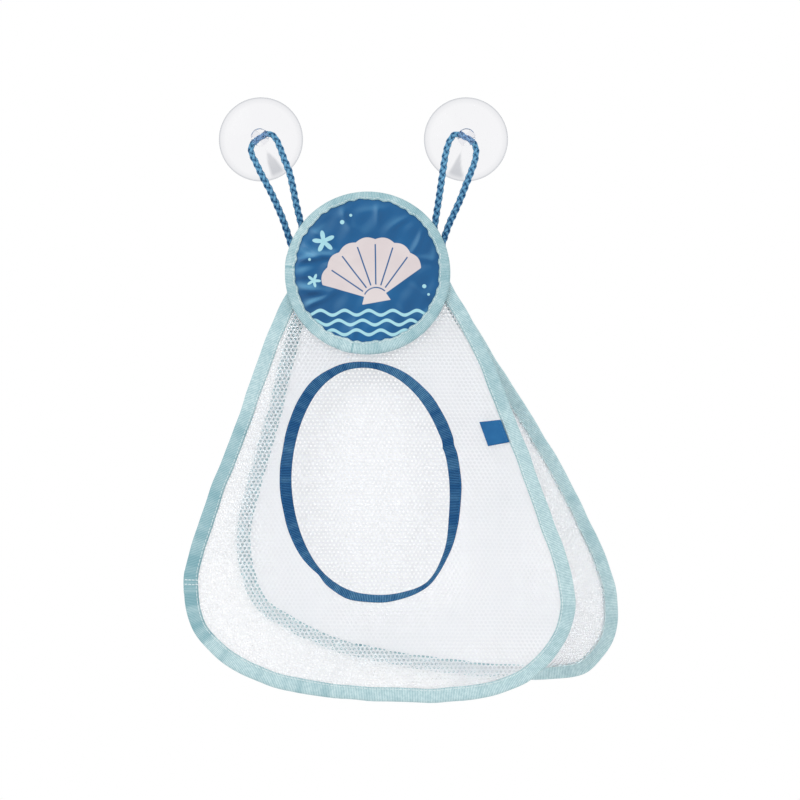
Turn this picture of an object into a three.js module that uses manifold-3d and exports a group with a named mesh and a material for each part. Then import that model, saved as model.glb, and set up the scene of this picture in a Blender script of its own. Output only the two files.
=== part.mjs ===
// Hanging bath toy organizer: a wide net bag held by two suction cups.
// Millimetres. +X to the right, +Y into the wall, +Z up. The wall is the plane Y = 0,
// and the origin lies on it, midway between the two suction cups.
import * as THREE from "three";
import { mergeGeometries, mergeVertices } from "three/addons/utils/BufferGeometryUtils.js";
import Module from "manifold-3d";

const wasm = await Module();
wasm.setup();

// Suction cups
const cup_spacing = 146.4;
const cup_diameter = 60;
const cup_lip_width = 5;
const cup_rim_thickness = 1.2;
const cup_cone_height = 7.4;
const cup_recess_height = 2.4;
const cup_cone_curve_share = 1.4;
const stem_diameter = 10.8;
const knob_diameter = 12.6;
const knob_reach = 20;
const knob_head_height = 4.4;
const knob_edge_radius = 1.8;
const bore_diameter = 5.4;
const bore_reach = 12;
const left_bore_angle = 36;
const right_bore_angle = -33;

// Cord loops: the points of each route, from one end behind the badge, up through the bore and back
const cord_diameter = 4.5;
const left_cord_route = [
  [-49.6, -13.8, -80.4], [-52.6, -12.6, -71.2], [-56.4, -12.1, -58], [-60.4, -12, -48], [-65.4, -12, -38],
  [-71.6, -12, -27.5], [-76.4, -12, -18.6], [-80.3, -12, -11.4], [-80.4, -12, -6.6], [-77.8, -12, -3.34],
  [-73.2, -12, 0], [-68.6, -12, 3.34], [-64.4, -12, 5.2], [-59.8, -12, 2.2], [-57.1, -12, -6],
  [-55.6, -12, -15], [-52.6, -12, -24], [-50.2, -12, -34], [-47.8, -11.6, -46], [-45, -11.2, -57.6], [-42.1, -12.1, -68.9],
];
const right_cord_route = [
  [49.6, -12.1, -68.9], [51.4, -11.2, -57.6], [53.6, -11.6, -44], [55.2, -12, -33], [56.8, -12, -22],
  [58.6, -12, -11], [60.6, -12, -1.6], [64.6, -12, 5], [68.7, -12, 2.92], [73.2, -12, 0], [77.7, -12, -2.92],
  [80, -12, -7.4], [79.4, -12, -15.6], [76.2, -12, -25], [72.6, -12, -34], [69.2, -12, -43], [65.2, -12, -52],
  [61, -12.1, -61.2], [57.4, -12.6, -71.4], [54.6, -13.8, -80.4],
];

// The two panels share one pattern size. Each outline is given in shares of the width, across,
// and of the drop, upwards from the badge's centre.
const panel_width = 274;
const panel_drop = 301.5;
const front_lean = 8;
const front_outline_shares = [
  [0, 0.08], [-0.146, 0.04], [-0.212, -0.05], [-0.285, -0.209], [-0.321, -0.312], [-0.363, -0.416],
  [-0.435, -0.598], [-0.466, -0.72], [-0.45, -0.82], [-0.36, -0.915], [-0.204, -0.974], [-0.015, -0.996], [0.205, -1],
  [0.347, -0.979], [0.456, -0.919], [0.522, -0.82], [0.524, -0.72], [0.47, -0.568], [0.389, -0.365],
  [0.303, -0.169], [0.231, -0.05], [0.16, 0.045],
];
const rear_outline_shares = [
  [0, 0.075], [-0.14, 0.03], [-0.2, -0.102], [-0.247, -0.272], [-0.289, -0.411], [-0.335, -0.568],
  [-0.337, -0.68], [-0.291, -0.786], [-0.117, -0.88], [0.084, -0.925], [0.323, -0.953], [0.482, -0.956],
  [0.573, -0.938], [0.64, -0.86], [0.645, -0.74], [0.577, -0.582], [0.487, -0.424], [0.356, -0.232],
  [0.283, -0.126], [0.21, -0.024], [0.13, 0.05],
];

// Edge tape of the panels, folded over the net's edge and a spring wire hoop
const tape_width = 10;
const tape_thickness = 0.5;
const tape_fold_chamfer = 0.9;
const hoop_wire_diameter = 1.4;
const ferrule_length = 11;
const ferrule_wall = 0.3;
const ferrule_clearance = 0.2;
const front_ferrule_share = 0.2;
const rear_ferrule_share = 0.82;
const net_thickness = 0.6;
const seat_gap = 0.3;

// Net gaps: the cloth's fine hexagons drawn as a coarse net
const net_pitch = 24;
const net_strand = 4.5;
const net_margin = 3;
const net_spare_rows = 2;

// The oval opening in the front panel, measured from the badge's centre
const opening_width = 110;
const opening_height = 157;
const opening_drop = 148.5;
const opening_side = 2.2;
const opening_lean = -1.5;
const opening_taper_share = 0.06;
// Where it leaves a plain oval: the place round it, the spread along it, and the reach over its width
const opening_swell_shares = [
  [0.86, 0.062, 0.077],
  [0.335, 0.103, 0.0455],
  [0.577, 0.06, -0.012],
];
const ribbon_width = 8;

// Round badge
const badge_diameter = 117;
const badge_side = 3.2;
const badge_depth = 16.7;
const badge_height = -96.8;
const badge_tape_width = 7.5;
const badge_tape_thickness = 0.6;
const badge_cloth_thickness = 0.6;
const badge_padding_thickness = 1.2;
const badge_padding_margin = 4;
const badge_crown = 0.8;

// Side tag, a folded label sewn in at the front panel's right tape
const tag_width = 15.5;
const tag_length = 17;
const tag_thickness = 0.8;
const tag_clearance = 0.6;
const tag_share = 0.8077;

// Rear panel
const rear_depth = 3.7;

// Facets
const cup_segments = 32;
const cone_steps = 5;
const recess_steps = 4;
const bore_sides = 12;
const cord_sides = 8;
const cord_steps = 44;
const outline_stations = 50;
const opening_stations = 40;
const badge_segments = 44;
const wire_sides = 6;
const hex_sides = 6;
const right_angle = Math.PI / 2;
const full_turn = Math.PI * 2;

// Worked out from the sizes above
const cup_radius = cup_diameter / 2;
const ferrule_radius = hoop_wire_diameter / 2 + ferrule_clearance + ferrule_wall;
const tape_half = ferrule_radius + seat_gap + tape_thickness;
const hoop_inset = tape_thickness + seat_gap + ferrule_radius;
const net_inset = hoop_inset + ferrule_radius + seat_gap;
const ribbon_half = net_thickness / 2 + seat_gap + tape_thickness;
const cut_overrun = 2;
const radians = THREE.MathUtils.degToRad;

const tapeTeal = new THREE.MeshStandardMaterial({ color: 0xb4d1d3, roughness: 0.85 });
const netWhite = new THREE.MeshStandardMaterial({ color: 0xf0f1f3, roughness: 0.8 });
const cupClear = new THREE.MeshStandardMaterial({ color: 0xe4e8ea, roughness: 0.12 });
const cordBlue = new THREE.MeshStandardMaterial({ color: 0x4b94c0, roughness: 0.8 });
const badgeBlue = new THREE.MeshStandardMaterial({ color: 0x2a6a9b, roughness: 0.45 });
const ribbonBlue = new THREE.MeshStandardMaterial({ color: 0x2b6496, roughness: 0.75 });
const paddingWhite = new THREE.MeshStandardMaterial({ color: 0xeeeeea, roughness: 0.9 });
const springSteel = new THREE.MeshStandardMaterial({ color: 0x9a9da1, roughness: 0.35, metalness: 1 });

// Solid helpers

// A geometry with its faces turned outwards.
function outward(geometry) {
  const made = mergeVertices(new THREE.BufferGeometry()
    .setAttribute("position", geometry.getAttribute("position"))
    .setIndex(geometry.index));
  const index = made.index.array;
  const at = (i) => new THREE.Vector3().fromBufferAttribute(made.getAttribute("position"), index[i]);
  let volume = 0;
  for (let i = 0; i < index.length; i += 3) volume += at(i).dot(at(i + 1).cross(at(i + 2)));
  if (volume < 0) {
    for (let i = 0; i < index.length; i += 3) {
      [index[i], index[i + 1]] = [index[i + 1], index[i]];
    }
  }
  return made;
}

function solid(geometry) {
  const made = outward(geometry);
  const vertProperties = new Float32Array(made.getAttribute("position").array);
  return new wasm.Manifold(new wasm.Mesh({
    numProp: 3,
    vertProperties,
    triVerts: new Uint32Array(made.index.array),
  }));
}

function geometryOf(manifold) {
  const mesh = manifold.getMesh();
  return new THREE.BufferGeometry()
    .setAttribute("position", new THREE.BufferAttribute(mesh.vertProperties, 3))
    .setIndex(new THREE.BufferAttribute(mesh.triVerts, 1));
}

function piece(name, geometry, material) {
  const mesh = new THREE.Mesh(outward(geometry), material);
  mesh.name = name;
  return mesh;
}

// A closed ring through the stations, each one a list of the section's corners. The section's second half
// faces its first half, and the diagonals of both run the same way, so that thin walls stay parallel.
function ringLoft(stations) {
  const corners = stations[0].length;
  const positions = stations.flat().flatMap((p) => [p.x, p.y, p.z]);
  const index = [];
  stations.forEach((_, i) => {
    const next = (i + 1) % stations.length;
    for (let j = 0; j < corners; j++) {
      const k = (j + 1) % corners;
      const [a, b, c, d] = [i * corners + j, next * corners + j, next * corners + k, i * corners + k];
      if (j < corners / 2) index.push(a, b, c, a, c, d);
      else index.push(a, b, d, b, c, d);
    }
  });
  return new THREE.BufferGeometry()
    .setAttribute("position", new THREE.Float32BufferAttribute(positions, 3))
    .setIndex(index);
}

// A flat shape drawn in X and Z, given its thickness along Y about the plane Y = 0.
function sheet(shape, thickness) {
  return new THREE.ExtrudeGeometry(shape, { depth: thickness, bevelEnabled: false, steps: 1 })
    .rotateX(right_angle)
    .translate(0, thickness / 2, 0);
}

// A revolved solid whose axis is Y; the profile's second number is the reach towards the viewer.
function revolved(profile, segments) {
  return new THREE.LatheGeometry(profile.map(([r, reach]) => new THREE.Vector2(r, reach)), segments)
    .rotateX(Math.PI);
}

// Outlines: closed curves in a panel's own plane, with x across and y upwards from the badge's centre

function panelOutline(shares) {
  const points = shares.map(([across, up]) => new THREE.Vector3(across * panel_width, up * panel_drop, 0));
  return new THREE.CatmullRomCurve3(points, true, "centripetal");
}

// Evenly spaced stations of a closed curve, each with the direction towards the curve's inside.
function stationsOf(curve, count) {
  return Array.from({ length: count }, (_, i) => {
    const point = curve.getPointAt(i / count);
    const along = curve.getTangentAt(i / count);
    return { point, along, inward: new THREE.Vector3(-along.y, along.x, 0) };
  });
}

function inset(stations, distance) {
  return stations.map(({ point, inward }) => point.clone().addScaledVector(inward, distance));
}

function shapeOf(points) {
  return new THREE.Shape(points.map((p) => new THREE.Vector2(p.x, p.y)));
}

function openingSwell(turn) {
  return opening_swell_shares.reduce((sum, [place, spread, reach]) => {
    const off = turn / full_turn - place;
    return sum + opening_width * reach * Math.exp(-(((off - Math.round(off)) / spread) ** 2));
  }, 0);
}

// The oval of the opening, narrower at its top and squarer at its lower right.
function openingCurve() {
  const lean = radians(opening_lean);
  const points = Array.from({ length: opening_stations / 2 }, (_, i) => {
    const turn = (full_turn * 2 * i) / opening_stations;
    const rise = (Math.sin(turn) * opening_height) / 2;
    const side = (Math.cos(turn) * opening_width * (1 - opening_taper_share * Math.sin(turn))) / 2;
    const swell = 1 + openingSwell(turn) / Math.hypot(rise, side);
    const [up, across] = [rise * swell, side * swell];
    return new THREE.Vector3(
      opening_side + across * Math.cos(lean) + up * Math.sin(lean),
      -opening_drop + up * Math.cos(lean) - across * Math.sin(lean),
      0,
    );
  });
  return new THREE.CatmullRomCurve3(points, true, "centripetal");
}

const frontStations = stationsOf(panelOutline(front_outline_shares), outline_stations);
const rearStations = stationsOf(panelOutline(rear_outline_shares), outline_stations);
const openingStations = stationsOf(openingCurve(), opening_stations);

// A ring whose section is given as [inwards from the outline, towards the wall] in the panel's plane.
function sweptRing(stations, section) {
  return ringLoft(stations.map(({ point, inward }) => section.map(([into, back]) => {
    const p = point.clone().addScaledVector(inward, into);
    return new THREE.Vector3(p.x, back, p.y);
  })));
}

// A folded tape's section, open on the side away from its fold.
function foldedTape(width, half, thickness, chamfer) {
  const inner = half - thickness;
  const corner = Math.min(chamfer, inner);
  return [
    [width, half], [corner, half], [0, half - corner], [0, corner - half], [corner, -half], [width, -half],
    [width, -inner], [thickness + corner, -inner], [thickness, corner - inner],
    [thickness, inner - corner], [thickness + corner, inner], [width, inner],
  ].filter(([a, b], i, all) => i === 0 || a !== all[i - 1][0] || b !== all[i - 1][1]);
}

function wireSection(radius, insetBy) {
  return Array.from({ length: wire_sides }, (_, i) => {
    const turn = (full_turn * i) / wire_sides;
    return [insetBy + radius * Math.cos(turn), radius * Math.sin(turn)];
  });
}

// Suction cups

function cupProfile() {
  const lip = cup_radius - cup_lip_width;
  const stem = stem_diameter / 2;
  const head = knob_diameter / 2;
  const recess = Array.from({ length: recess_steps }, (_, i) => {
    const r = (lip * i) / recess_steps;
    return [r, cup_recess_height * (1 - (r / lip) ** 2)];
  });
  const cone = Array.from({ length: cone_steps + 1 }, (_, i) => {
    const climb = i / cone_steps;
    const rise = (cup_cone_height - cup_rim_thickness) * climb ** cup_cone_curve_share;
    return [cup_radius + (stem - cup_radius) * climb, cup_rim_thickness + rise];
  });
  const neck = knob_reach - knob_head_height;
  return [
    ...recess, [lip, 0], [cup_radius, 0], ...cone, [stem, neck - (head - stem)], [head, neck],
    [head, knob_reach - knob_edge_radius], [head - knob_edge_radius / 2, knob_reach - knob_edge_radius / 4],
    [head - knob_edge_radius, knob_reach], [0, knob_reach],
  ];
}

function suctionCup(name, side, boreAngle) {
  const bore = new THREE.CylinderGeometry(
    bore_diameter / 2, bore_diameter / 2, knob_diameter + 2 * cut_overrun, bore_sides,
  ).rotateZ(right_angle).rotateY(-radians(boreAngle)).translate(0, -bore_reach, 0);
  const body = solid(revolved(cupProfile(), cup_segments)).subtract(solid(bore));
  const cup = piece(name, geometryOf(body), cupClear);
  cup.position.x = (side * cup_spacing) / 2;
  return cup;
}

// Cord loops

function cordLoop(name, route) {
  const path = new THREE.CatmullRomCurve3(route.map(([x, y, z]) => new THREE.Vector3(x, y, z)));
  const section = new THREE.Shape(Array.from({ length: cord_sides }, (_, i) => {
    const turn = (full_turn * i) / cord_sides;
    return new THREE.Vector2(Math.cos(turn), Math.sin(turn)).multiplyScalar(cord_diameter / 2);
  }));
  return piece(name, new THREE.ExtrudeGeometry(section, { steps: cord_steps, extrudePath: path }), cordBlue);
}

// Nets

function prism(points, thickness) {
  return solid(sheet(shapeOf(points), thickness));
}

function contains(polygon, x, y) {
  let inside = false;
  polygon.forEach((a, i) => {
    const b = polygon[(i + 1) % polygon.length];
    if (a.y > y !== b.y > y && x < ((b.x - a.x) * (y - a.y)) / (b.y - a.y) + a.x) inside = !inside;
  });
  return inside;
}

// Hexagon prisms on a staggered grid, where their centres lie inside the net and outside its opening.
function hexagons(field, hole, thickness) {
  const reach = (net_pitch - net_strand) / Math.sqrt(3);
  const row_height = (net_pitch * Math.sqrt(3)) / 2;
  const rows = Math.ceil(panel_drop / row_height) + net_spare_rows;
  const columns = Math.ceil(panel_width / net_pitch);
  const cells = [];
  for (let row = -net_spare_rows; row < rows; row++) {
    for (let column = -columns; column <= columns; column++) {
      const x = (column + (row % 2 ? 1 / 2 : 0)) * net_pitch;
      const y = -row * row_height;
      if (!contains(field, x, y) || (hole && contains(hole, x, y))) continue;
      const corners = Array.from({ length: hex_sides }, (_, i) => {
        const turn = (full_turn * (i + 1 / 2)) / hex_sides;
        return new THREE.Vector3(x + reach * Math.cos(turn), y + reach * Math.sin(turn), 0);
      });
      cells.push(outward(sheet(shapeOf(corners), thickness)));
    }
  }
  return solid(mergeGeometries(cells));
}

// A panel's net: a sheet whose gaps stop short of its tapes.
function panelNet(name, stations, opening) {
  const edge = tape_width + net_margin;
  const cut = net_thickness + cut_overrun;
  const centres = inset(stations, tape_width / 2);
  let sheetSolid = prism(inset(stations, net_inset), net_thickness);
  let gaps = hexagons(centres, opening && inset(opening, 0), cut)
    .intersect(prism(inset(stations, edge), cut));
  if (opening) {
    sheetSolid = sheetSolid.subtract(prism(inset(opening, -(tape_thickness + seat_gap)), cut));
    gaps = gaps.subtract(prism(inset(opening, -(ribbon_width + net_margin)), cut + cut_overrun));
  }
  return piece(name, geometryOf(sheetSolid.subtract(gaps)), netWhite);
}

// Hoop, ferrule and tape of a panel

function hoop(name, stations) {
  return piece(name, sweptRing(stations, wireSection(hoop_wire_diameter / 2, hoop_inset)), springSteel);
}

function ferrule(name, stations, share) {
  const bore = ferrule_radius - ferrule_wall;
  const half = ferrule_length / 2;
  const ring = [[bore, -half], [ferrule_radius, -half], [ferrule_radius, half], [bore, half], [bore, -half]];
  const sleeve = piece(name, revolved(ring, bore_sides), springSteel);
  const station = stations[Math.round(share * stations.length)];
  const place = station.point.clone().addScaledVector(station.inward, hoop_inset);
  const along = new THREE.Vector3(station.along.x, 0, station.along.y);
  sleeve.quaternion.setFromUnitVectors(new THREE.Vector3(0, 1, 0), along);
  sleeve.position.set(place.x, 0, place.y);
  return sleeve;
}

function edgeTape(name, stations) {
  const section = foldedTape(tape_width, tape_half, tape_thickness, tape_fold_chamfer);
  return piece(name, sweptRing(stations, section), tapeTeal);
}

function openingRibbon() {
  const section = foldedTape(ribbon_width, ribbon_half, tape_thickness, tape_fold_chamfer)
    .map(([into, back]) => [-into, back]);
  return piece("opening_binding", sweptRing(openingStations, section), ribbonBlue);
}

// Badge: its layers lie in front of the front panel, from the tape's rear leg to its front leg

const badge_back = tape_half + seat_gap;
const backing_reach = badge_back + badge_tape_thickness + seat_gap;
const padding_reach = backing_reach + badge_cloth_thickness + seat_gap;
const face_reach = padding_reach + badge_padding_thickness + seat_gap;
const badge_front = face_reach + badge_cloth_thickness + seat_gap + badge_tape_thickness;
const cloth_radius = badge_diameter / 2 - badge_tape_thickness - seat_gap;

const crown_shares = [0, 1 / 3, 2 / 3, 1];
const flat_shares = [0, 1];

// A disc of cloth, padded up by the crown at its middle.
function clothDisc(name, radius, thickness, reach, crown, material) {
  const rise = (r) => reach + crown * (1 - (r / radius) ** 2);
  const steps = (crown ? crown_shares : flat_shares).map((s) => s * radius);
  const under = steps.map((r) => [r, rise(r)]);
  const over = steps.map((r) => [r, rise(r) + thickness]).reverse();
  return piece(name, revolved([...under, ...over], badge_segments), material);
}

function badgeTape() {
  const outer = badge_diameter / 2;
  const inner = outer - badge_tape_width;
  const chamfer = badge_tape_thickness;
  const wall = outer - badge_tape_thickness;
  const ring = [
    [inner, badge_back], [outer - chamfer, badge_back], [outer, badge_back + chamfer],
    [outer, badge_front - chamfer], [outer - chamfer, badge_front], [inner, badge_front],
    [inner, badge_front - badge_tape_thickness], [wall, badge_front - badge_tape_thickness],
    [wall, badge_back + badge_tape_thickness], [inner, badge_back + badge_tape_thickness],
    [inner, badge_back],
  ];
  return piece("badge_binding", revolved(ring, badge_segments), tapeTeal);
}

function badge() {
  const layers = new THREE.Group();
  const thickness = badge_cloth_thickness;
  layers.add(
    clothDisc("badge_backing", cloth_radius, thickness, backing_reach, 0, badgeBlue),
    clothDisc("badge_padding", cloth_radius - badge_padding_margin, badge_padding_thickness,
      padding_reach, 0, paddingWhite),
    clothDisc("badge_face", cloth_radius, thickness, face_reach, badge_crown, badgeBlue),
    badgeTape(),
  );
  return layers;
}

// Gusset: the net band between the two panels' tapes, all the way round

function frontPlace(p, back) {
  const lean = radians(front_lean);
  return new THREE.Vector3(
    badge_side + p.x,
    -badge_depth + back * Math.cos(lean) + p.y * Math.sin(lean),
    badge_height - back * Math.sin(lean) + p.y * Math.cos(lean),
  );
}

function rearPlace(p, back) {
  return new THREE.Vector3(badge_side + p.x, -rear_depth + back, badge_height + p.y);
}

function gusset() {
  const middle = tape_width / 2;
  const lift = tape_half + seat_gap;
  const edges = [middle, middle + net_thickness].map((distance) => [
    inset(frontStations, distance).map((p) => frontPlace(p, lift)),
    inset(rearStations, distance).map((p) => rearPlace(p, -lift)),
  ]);
  const [[frontOuter, rearOuter], [frontInner, rearInner]] = edges;
  const stations = frontOuter.map((p, i) => [p, rearOuter[i], rearInner[i], frontInner[i]]);
  return piece("gusset_net", ringLoft(stations), netWhite);
}

// Side tag, beside the inner edge of the front panel's right tape

function sideTag() {
  const station = panelOutline(front_outline_shares);
  const point = station.getPointAt(tag_share);
  const along = station.getTangentAt(tag_share);
  const tag = piece("side_tag", new THREE.BoxGeometry(tag_width, tag_thickness, tag_length), ribbonBlue);
  const inward = new THREE.Vector3(-along.y, along.x, 0);
  const place = point.addScaledVector(inward, tape_width + tag_clearance + tag_width / 2);
  tag.position.set(place.x, -tape_half, place.y);
  tag.rotation.y = -Math.atan2(inward.y, inward.x) - Math.PI;
  return tag;
}

// Assembly

function frontPanel() {
  const panel = new THREE.Group();
  panel.position.set(badge_side, -badge_depth, badge_height);
  panel.rotation.x = -radians(front_lean);
  panel.add(
    panelNet("front_net", frontStations, openingStations),
    edgeTape("front_binding", frontStations),
    hoop("front_hoop", frontStations),
    ferrule("front_hoop_ferrule", frontStations, front_ferrule_share),
    openingRibbon(),
    badge(),
    sideTag(),
  );
  return panel;
}

function rearPanel() {
  const panel = new THREE.Group();
  panel.position.set(badge_side, -rear_depth, badge_height);
  panel.add(
    panelNet("rear_net", rearStations, null),
    edgeTape("rear_binding", rearStations),
    hoop("rear_hoop", rearStations),
    ferrule("rear_hoop_ferrule", rearStations, rear_ferrule_share),
  );
  return panel;
}

const organizer = new THREE.Group();
organizer.add(
  suctionCup("left_suction_cup", -1, left_bore_angle),
  suctionCup("right_suction_cup", 1, right_bore_angle),
  cordLoop("left_cord_loop", left_cord_route),
  cordLoop("right_cord_loop", right_cord_route),
  frontPanel(),
  rearPanel(),
  gusset(),
);

export default organizer;
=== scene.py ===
# Hanging bath toy organizer: a wide net bag with tape bindings, a round padded badge, an oval
# ribbon-edged opening, two clear suction cups and two braided cord loops.
import math

import bpy
import numpy as np
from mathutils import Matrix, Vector
from mathutils.kdtree import KDTree


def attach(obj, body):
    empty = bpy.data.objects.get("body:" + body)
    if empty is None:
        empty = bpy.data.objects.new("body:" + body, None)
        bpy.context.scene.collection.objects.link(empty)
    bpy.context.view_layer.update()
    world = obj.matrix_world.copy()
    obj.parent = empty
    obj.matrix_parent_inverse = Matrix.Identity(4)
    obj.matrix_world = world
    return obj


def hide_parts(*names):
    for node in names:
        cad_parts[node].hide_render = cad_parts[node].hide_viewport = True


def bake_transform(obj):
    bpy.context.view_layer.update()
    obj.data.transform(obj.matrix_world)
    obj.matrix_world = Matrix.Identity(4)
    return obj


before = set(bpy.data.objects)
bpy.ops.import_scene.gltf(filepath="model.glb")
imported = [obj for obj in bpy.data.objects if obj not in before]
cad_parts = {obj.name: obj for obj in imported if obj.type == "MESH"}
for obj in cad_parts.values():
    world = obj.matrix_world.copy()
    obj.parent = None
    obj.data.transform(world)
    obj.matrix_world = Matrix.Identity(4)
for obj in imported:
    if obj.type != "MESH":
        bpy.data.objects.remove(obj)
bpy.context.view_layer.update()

scene = bpy.context.scene
scene.view_settings.view_transform = "Standard"
MM = 0.001
TURN = 2 * math.pi

# Sizes that the solids were made from, in millimetres
BADGE_SIDE, BADGE_DEPTH, BADGE_HEIGHT = 3.2, 16.7, -96.8
REAR_DEPTH = 3.7
LEAN = math.radians(8)
PANEL_WIDTH, PANEL_DROP = 274, 301.5
TAPE_WIDTH, NET_INSET = 10, 3.5
OPENING_WIDTH, OPENING_HEIGHT = 110, 157
OPENING_SIDE, OPENING_DROP = 2.2, 148.5
OPENING_LEAN, OPENING_TAPER_SHARE = math.radians(-1.5), 0.06
OPENING_SWELL_SHARES = [(0.86, 0.062, 0.077), (0.335, 0.103, 0.0455), (0.577, 0.06, -0.012)]
BADGE_RADIUS = 58.5
CUP_X = 73.2
BORE_REACH = 12

FRONT_SHARES = [
    (0, 0.08), (-0.146, 0.04), (-0.212, -0.05), (-0.285, -0.209), (-0.321, -0.312), (-0.363, -0.416),
    (-0.435, -0.598), (-0.466, -0.72), (-0.45, -0.82), (-0.36, -0.915), (-0.204, -0.974), (-0.015, -0.996),
    (0.205, -1), (0.347, -0.979), (0.456, -0.919), (0.522, -0.82), (0.524, -0.72), (0.47, -0.568),
    (0.389, -0.365), (0.303, -0.169), (0.231, -0.05), (0.16, 0.045),
]
REAR_SHARES = [
    (0, 0.075), (-0.14, 0.03), (-0.2, -0.102), (-0.247, -0.272), (-0.289, -0.411), (-0.335, -0.568),
    (-0.337, -0.68), (-0.291, -0.786), (-0.117, -0.88), (0.084, -0.925), (0.323, -0.953), (0.482, -0.956),
    (0.573, -0.938), (0.64, -0.86), (0.645, -0.74), (0.577, -0.582), (0.487, -0.424), (0.356, -0.232),
    (0.283, -0.126), (0.21, -0.024), (0.13, 0.05),
]
LEFT_ROUTE = [
    (-44.6, -16.2, -88.6), (-47.4, -14.9, -84.2), (-49.6, -14.1, -80.4), (-52.6, -12.6, -71.2),
    (-57, -12.1, -58), (-61.2, -12, -48), (-65.8, -12, -38), (-71.6, -12, -27.2), (-75.8, -12, -18.4),
    (-79.2, -12, -11.2), (-79.6, -12, -6.6), (-77.6, -12, -3.2), (-73.2, -12, 0), (-69.2, -12, 2.5),
    (-66, -12, 2.7), (-62.4, -12, -0.2), (-59.4, -12, -6.2), (-56.2, -12, -15), (-52.6, -12, -24),
    (-50.2, -12, -34), (-47.8, -11.6, -46), (-45, -11.2, -57.6), (-42.1, -12.5, -68.9), (-41, -13.4, -73),
    (-39.6, -14.8, -77.6),
]
RIGHT_ROUTE = [
    (47.4, -14.8, -77.6), (48.5, -13.4, -73), (49.6, -12.5, -68.9), (51.4, -11.2, -57.6),
    (53.6, -11.6, -44), (55.2, -12, -33), (56.8, -12, -22), (58.8, -12, -10), (61.4, -12, -2),
    (64.8, -12, 2.2), (68.8, -12, 2.3), (73.2, -12, 0), (77.7, -12, -2.92), (80, -12, -7.4),
    (79.4, -12, -15.6), (76.2, -12, -25), (72.6, -12, -34), (69.2, -12, -43), (65.2, -12, -52),
    (61, -12.1, -61.2), (57.4, -12.6, -71.4), (54.6, -14.1, -80.4), (53.2, -15, -83.8), (51.5, -16.2, -87.4),
]


def add_object(name, data):
    made = bpy.data.objects.new(name, data)
    scene.collection.objects.link(made)
    return made


# Camera, at the photograph's place and angle

def add_camera():
    data = bpy.data.cameras.new("studio_camera")
    data.lens, data.sensor_width = 126, 36
    camera = add_object("studio_camera", data)
    camera.location = Vector((26.1, -2000, -186.1)) * MM
    camera.rotation_euler = (math.pi / 2, 0, 0)
    scene.camera = camera


add_camera()


# Shader nodes

def rgb(code):
    """A colour written as six hex digits, as linear red, green, blue and alpha."""
    parts = [int(code[i:i + 2], 16) / 255 for i in (0, 2, 4)]
    return tuple(p / 12.92 if p <= 0.04045 else ((p + 0.055) / 1.055) ** 2.4 for p in parts) + (1.0,)


class Nodes:
    """The nodes of one tree. Colours are sockets, or six hex digits."""

    def __init__(self, tree):
        self.tree = tree

    def add(self, kind, inputs=None, **settings):
        """Adds a shader node, sets its settings, and sets or links its inputs."""
        node = self.tree.nodes.new("ShaderNode" + kind)
        for key, value in settings.items():
            setattr(node, key, value)
        for key, value in (inputs or {}).items():
            if isinstance(value, bpy.types.NodeSocket):
                self.tree.links.new(value, node.inputs[key])
            else:
                node.inputs[key].default_value = rgb(value) if isinstance(value, str) else value
        return node

    def math(self, operation, a, b=0.5, clamp=False):
        return self.add("Math", {0: a, 1: b}, operation=operation, use_clamp=clamp).outputs[0]

    def mix(self, factor, a, b, blend="MIX"):
        return self.add("Mix", {0: factor, 6: a, 7: b}, data_type="RGBA", blend_type=blend).outputs[2]

    def span(self, value, low=0.0, high=1.0, to_low=0.0, to_high=1.0):
        return self.add("MapRange", {0: value, 1: low, 2: high, 3: to_low, 4: to_high}).outputs[0]


class Group(Nodes):
    """A shader node group: a vector and floats with their defaults go in, floats come out."""

    def __init__(self, name, inputs, outputs):
        super().__init__(bpy.data.node_groups.new(name, "ShaderNodeTree"))
        new_socket = self.tree.interface.new_socket
        new_socket("Vector", in_out="INPUT", socket_type="NodeSocketVector")
        for label, default in inputs.items():
            new_socket(label, in_out="INPUT", socket_type="NodeSocketFloat").default_value = default
        for label in outputs:
            new_socket(label, in_out="OUTPUT", socket_type="NodeSocketFloat")
        self.start = self.tree.nodes.new("NodeGroupInput").outputs
        self.end = self.tree.nodes.new("NodeGroupOutput").inputs

    def put(self, label, value):
        self.tree.links.new(value, self.end[label])


def ribbed_weave():
    """Ribs across a woven tape and the threads that lie over them, from a map in millimetres."""
    group = Group("ribbed_weave", {"Rib Pitch": 1.2, "Thread Pitch": 0.45}, ("Groove", "Height"))
    parts = group.add("SeparateXYZ", {0: group.start["Vector"]}).outputs
    turns = group.math("DIVIDE", parts[0], group.start["Rib Pitch"])
    rib = group.span(group.math("COSINE", group.math("MULTIPLY", turns, TURN)), -1.0)
    shift = group.math("MULTIPLY", group.math("FLOOR", turns), 0.5)
    threads = group.math("ADD", group.math("DIVIDE", parts[1], group.start["Thread Pitch"]), shift)
    pick = group.span(group.math("COSINE", group.math("MULTIPLY", threads, TURN)), -1.0, 1.0, 0.35)
    height = group.math("MULTIPLY", rib, pick)
    group.put("Groove", group.math("SUBTRACT", 1.0, height))
    group.put("Height", height)
    return group.tree


def plain_weave():
    """Fine crossing threads, from Object coordinates in metres times the scale."""
    group = Group("plain_weave", {"Scale": 2000.0}, ("Height",))
    parts = group.add("SeparateXYZ", {0: group.start["Vector"]}).outputs
    across, upwards = (
        group.math("SINE", group.math("MULTIPLY", parts[i], group.start["Scale"])) for i in (0, 2)
    )
    product = group.math("MULTIPLY", across, upwards)
    group.put("Height", group.math("ADD", group.math("MULTIPLY", product, 0.5), 0.5))
    return group.tree


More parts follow.
